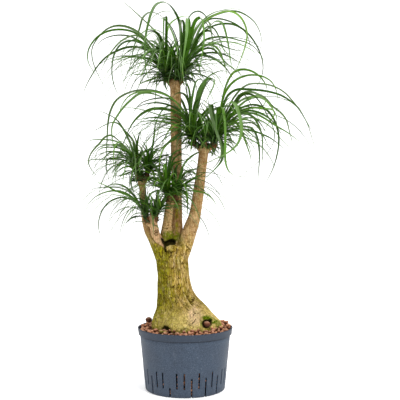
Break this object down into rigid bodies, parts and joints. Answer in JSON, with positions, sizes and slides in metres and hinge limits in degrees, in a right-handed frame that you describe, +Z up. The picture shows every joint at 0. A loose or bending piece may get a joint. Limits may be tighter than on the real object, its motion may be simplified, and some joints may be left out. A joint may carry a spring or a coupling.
{
  "type": "potted ponytail palm",
  "caption": "Ponytail palm with a swollen caudex and slim stems, tufts of arching strap leaves, standing in a round slotted culture pot filled with clay granulate.",
  "frame": {"origin": "middle of the pot's flat underside, on the pot's axis", "axes": "+Z up along the pot's axis, -Y towards the side seen in the picture, +X to its right"},
  "size_m": [0.7198, 0.5432, 1.1764],
  "materials": {
    "pot_plastic": "blue-grey moulded plastic, matt, lightly scuffed",
    "clay": "rough fired clay pebbles, red-brown with dark ones",
    "bark": "furrowed tan bark with olive moss, ring scars on the stems",
    "leaf": "leathery satin strap leaf, dark green, paler beneath"
  },
  "bodies": {
    "root": {"pot": "pot_plastic", "clay_granulate": "clay", "caudex_and_stems": "bark", "leaves_tall_stem_left_1": "leaf", "leaves_tall_stem_left_2": "leaf", "leaves_tall_stem_left_3": "leaf", "leaves_tall_stem_left_4": "leaf", "leaves_tall_stem_right_1": "leaf", "leaves_tall_stem_right_2": "leaf", "leaves_tall_stem_right_3": "leaf", "leaves_tall_stem_right_4": "leaf", "leaves_tall_stem_right_5": "leaf", "leaves_right_stem_left_1": "leaf", "leaves_right_stem_left_2": "leaf", "leaves_right_stem_left_3": "leaf", "leaves_right_stem_left_4": "leaf", "leaves_right_stem_right_1": "leaf", "leaves_right_stem_right_2": "leaf", "leaves_right_stem_right_3": "leaf", "leaves_right_stem_right_4": "leaf", "leaves_right_stem_right_5": "leaf", "leaves_thin_stem_left_1": "leaf", "leaves_thin_stem_left_2": "leaf", "leaves_thin_stem_left_3": "leaf", "leaves_thin_stem_left_4": "leaf", "leaves_thin_stem_right_1": "leaf", "leaves_thin_stem_right_2": "leaf", "leaves_thin_stem_right_3": "leaf", "leaves_front_stem_left_1": "leaf", "leaves_front_stem_left_2": "leaf", "leaves_front_stem_left_3": "leaf", "leaves_front_stem_right_1": "leaf", "leaves_front_stem_right_2": "leaf", "leaves_front_stem_right_3": "leaf", "leaves_front_stem_right_4": "leaf", "leaves_short_stem_left_1": "leaf", "leaves_short_stem_left_2": "leaf", "leaves_short_stem_left_3": "leaf", "leaves_short_stem_right_1": "leaf", "leaves_short_stem_right_2": "leaf", "leaves_short_stem_right_3": "leaf"}
  },
  "joints": []
}
